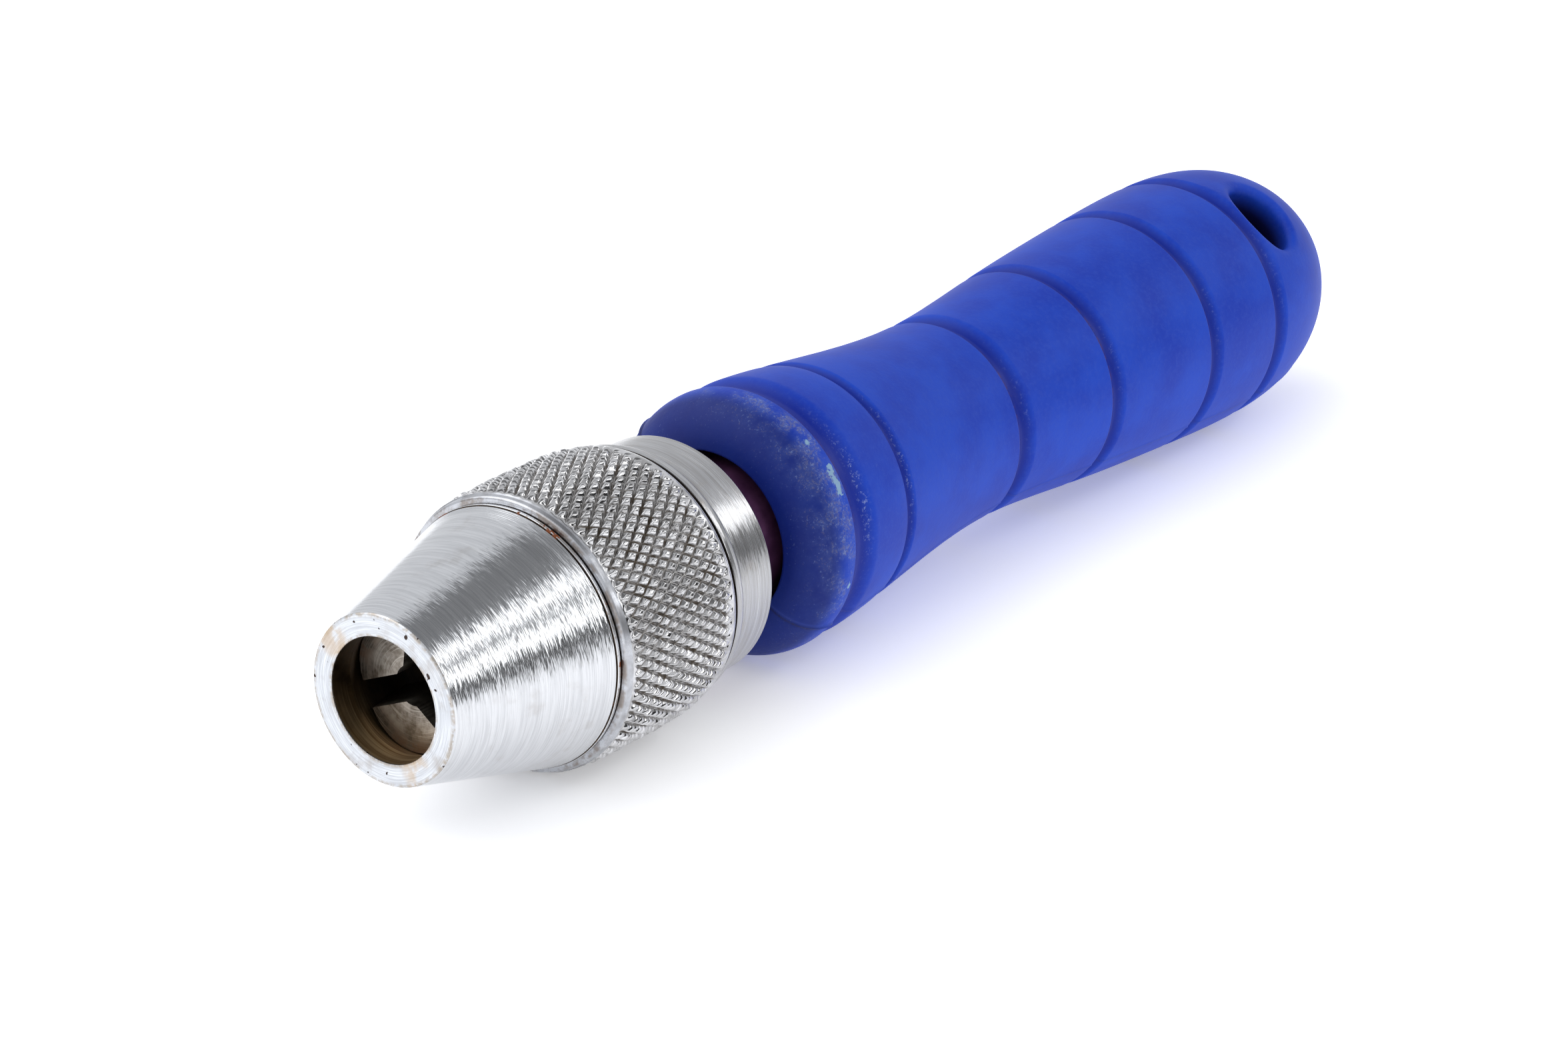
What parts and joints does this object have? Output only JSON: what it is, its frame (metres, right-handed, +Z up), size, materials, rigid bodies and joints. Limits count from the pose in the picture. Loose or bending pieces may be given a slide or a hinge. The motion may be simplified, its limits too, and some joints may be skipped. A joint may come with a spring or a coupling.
{
  "type": "pin vise drill",
  "caption": "Hand-turned drill holder: a keyless three-jaw chuck with a knurled tightening sleeve on a waisted plastic grip with ring grooves and a hang hole.",
  "frame": {"origin": "centre of the mouth in the nose's front face, on the tool's axis", "axes": "+X along the axis from the nose to the tail, +Z up as the tool lies on a bench"},
  "size_m": [0.1633, 0.0296, 0.0296],
  "materials": {
    "handle_plastic": "matte moulded plastic, lightly scuffed",
    "brass_insert": "machined",
    "cage_brass": "stamped",
    "plain_steel": "machined, oiled",
    "collar_steel": "turned",
    "hood_steel": "fine turned, satin to bright",
    "knurled_steel": "bright, with a diamond knurl",
    "hard_steel": "ground and polished",
    "jaw_steel": "turned faces, oil-brown"
  },
  "bodies": {
    "handle": {"handle_grip": "handle_plastic", "handle_insert": "brass_insert", "mounting_stud": "plain_steel", "lock_washer": "plain_steel", "chuck_body": "plain_steel", "rear_collar": "collar_steel", "body_race": "hard_steel"},
    "sleeve": {"nose_hood": "hood_steel", "knurled_sleeve": "knurled_steel", "jaw_guide": "plain_steel", "sleeve_retainer": "plain_steel", "ring_race": "hard_steel"},
    "cage": {"ball_cage": "cage_brass", "thrust_balls": "hard_steel"},
    "feed": {"feed_screw": "plain_steel"},
    "jaw_1": {"jaw_1": "jaw_steel"},
    "jaw_2": {"jaw_2": "jaw_steel"},
    "jaw_3": {"jaw_3": "jaw_steel"}
  },
  "joints": [
    {"name": "sleeve_turn", "type": "hinge", "parent": "handle", "child": "sleeve", "pos_m": [0.0277, 0, 0], "axis": [1, 0, 0], "range_deg": [-757, 1021]},
    {"name": "cage_turn", "type": "hinge", "parent": "handle", "child": "cage", "pos_m": [0.0337, 0, 0], "axis": [1, 0, 0], "range_deg": [-379, 511]},
    {"name": "feed_slide", "type": "slide", "parent": "sleeve", "child": "feed", "axis": [-1, 0, 0], "range_m": [-0.00315, 0.00425]},
    {"name": "jaw_1_slide", "type": "slide", "parent": "feed", "child": "jaw_1", "axis": [0, -0.7912, -0.6115], "range_m": [-0.00116, 0.00156]},
    {"name": "jaw_2_slide", "type": "slide", "parent": "feed", "child": "jaw_2", "axis": [0, 0.9252, -0.3795], "range_m": [-0.00116, 0.00156]},
    {"name": "jaw_3_slide", "type": "slide", "parent": "feed", "child": "jaw_3", "axis": [0, -0.134, 0.991], "range_m": [-0.00116, 0.00156]}
  ],
  "couplings": [
    {"joint": "sleeve_turn", "follows": "feed_slide", "rad_per_m": 4188.8},
    {"joint": "cage_turn", "follows": "feed_slide", "rad_per_m": 2094.4},
    {"joint": "jaw_1_slide", "follows": "feed_slide", "ratio": 0.36397},
    {"joint": "jaw_2_slide", "follows": "feed_slide", "ratio": 0.36397},
    {"joint": "jaw_3_slide", "follows": "feed_slide", "ratio": 0.36397}
  ]
}
